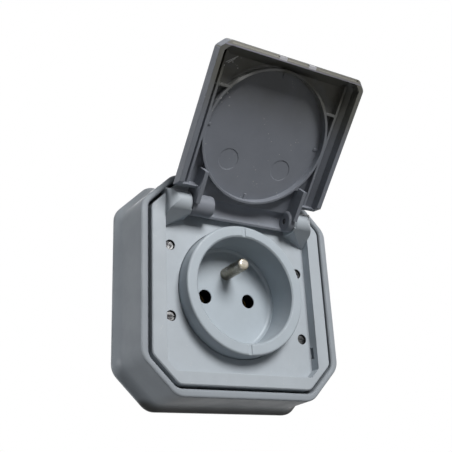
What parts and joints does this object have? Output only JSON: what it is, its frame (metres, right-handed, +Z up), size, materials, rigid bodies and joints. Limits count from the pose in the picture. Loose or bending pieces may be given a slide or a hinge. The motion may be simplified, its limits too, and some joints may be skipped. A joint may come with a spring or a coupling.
{
  "type": "outdoor wall socket",
  "caption": "Weatherproof socket for a wall box: flared octagonal surround, inner plate with a round plug well and earth pin, and a ribbed lid that swings up on a barrel hinge.",
  "frame": {"origin": "on the wall plane, on the axis of the plug well, which is also the centre of the wall box's fixing slots", "axes": "the wall is the plane Y = 0; -Y points out of the wall, towards the person with the plug; +Z up; +X to the right seen from the front"},
  "size_m": [0.0866, 0.084, 0.1172],
  "materials": {
    "shell_plastic": "satin light grey moulding",
    "plate_plastic": "satin light grey moulding",
    "lid_plastic": "satin light grey moulding",
    "insert_plastic": "satin light grey moulding",
    "base_plastic": "matt dark grey moulding",
    "plated_steel": "zinc plated",
    "screw_steel": "plated",
    "pin_brass": "dull, worn at the tip",
    "contact_brass": "bare",
    "seal_rubber": "matt black"
  },
  "bodies": {
    "base": {"surround": "shell_plastic", "face_plate": "plate_plastic", "socket_well": "insert_plastic", "well_floor": "insert_plastic", "mechanism_base": "base_plastic", "mounting_ring": "base_plastic", "support_frame": "plated_steel", "earth_pin": "pin_brass", "earth_strap": "contact_brass", "contact_left": "contact_brass", "contact_right": "contact_brass", "contact_spring_left": "plated_steel", "contact_spring_right": "plated_steel", "terminal_left": "contact_brass", "terminal_right": "contact_brass", "terminal_earth": "contact_brass", "terminal_screws": "screw_steel", "cover_screws": "screw_steel", "base_screws": "screw_steel", "frame_screws": "screw_steel", "hinge_pins": "screw_steel", "wall_gasket": "seal_rubber", "plate_gasket": "seal_rubber", "seat_gasket": "seal_rubber"},
    "lid": {"lid": "lid_plastic"}
  },
  "joints": [
    {"name": "lid_hinge", "type": "hinge", "parent": "base", "child": "lid", "pos_m": [0, -0.0221, 0.0304], "axis": [1, 0, 0], "range_deg": [0, 138]}
  ]
}
